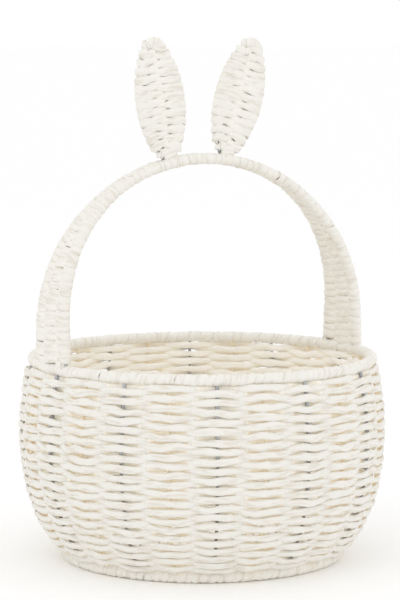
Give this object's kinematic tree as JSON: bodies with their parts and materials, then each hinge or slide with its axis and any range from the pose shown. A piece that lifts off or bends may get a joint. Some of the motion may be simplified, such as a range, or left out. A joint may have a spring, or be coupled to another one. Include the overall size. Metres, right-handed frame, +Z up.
{
  "type": "easter basket",
  "caption": "Round woven basket of cream paper rope on a steel wire frame, with a fixed arch handle that carries leaf-shaped bunny ears.",
  "frame": {"origin": "middle of the base ring, on the surface the basket stands on", "axes": "+Z up; X runs from foot to foot of the handle, in the plane of its arch and of both ears; Y runs across the handle"},
  "size_m": [0.254, 0.254, 0.358],
  "materials": {
    "steel_wire": "bright galvanised steel wire",
    "stake_paper": "tightly rolled cream paper",
    "paper_rope": "matt, loosely twisted and flattened paper rope"
  },
  "bodies": {
    "root": {"rim_hoop": "steel_wire", "base_hoop": "steel_wire", "hub_ring": "steel_wire", "wire_rib_01": "steel_wire", "wire_rib_02": "steel_wire", "wire_rib_03": "steel_wire", "wire_rib_04": "steel_wire", "wire_rib_05": "steel_wire", "wire_rib_06": "steel_wire", "wire_rib_07": "steel_wire", "wire_rib_08": "steel_wire", "wire_rib_09": "steel_wire", "wire_rib_10": "steel_wire", "wire_rib_11": "steel_wire", "wire_rib_12": "steel_wire", "handle_middle_wire": "steel_wire", "handle_front_wire": "steel_wire", "handle_back_wire": "steel_wire", "ear_wire_left": "steel_wire", "ear_wire_right": "steel_wire", "paper_stake_01": "stake_paper", "paper_stake_02": "stake_paper", "paper_stake_03": "stake_paper", "paper_stake_04": "stake_paper", "paper_stake_05": "stake_paper", "paper_stake_06": "stake_paper", "paper_stake_07": "stake_paper", "paper_stake_08": "stake_paper", "paper_stake_09": "stake_paper", "paper_stake_10": "stake_paper", "paper_stake_11": "stake_paper", "paper_stake_12": "stake_paper", "side_weave": "paper_rope", "floor_weave": "paper_rope", "handle_weave_left": "paper_rope", "handle_weave_right": "paper_rope", "ear_weave_left": "paper_rope", "ear_weave_right": "paper_rope", "rim_binding": "paper_rope", "base_binding": "paper_rope", "crown_binding": "paper_rope", "ear_neck_left": "paper_rope", "ear_neck_right": "paper_rope"}
  },
  "joints": []
}
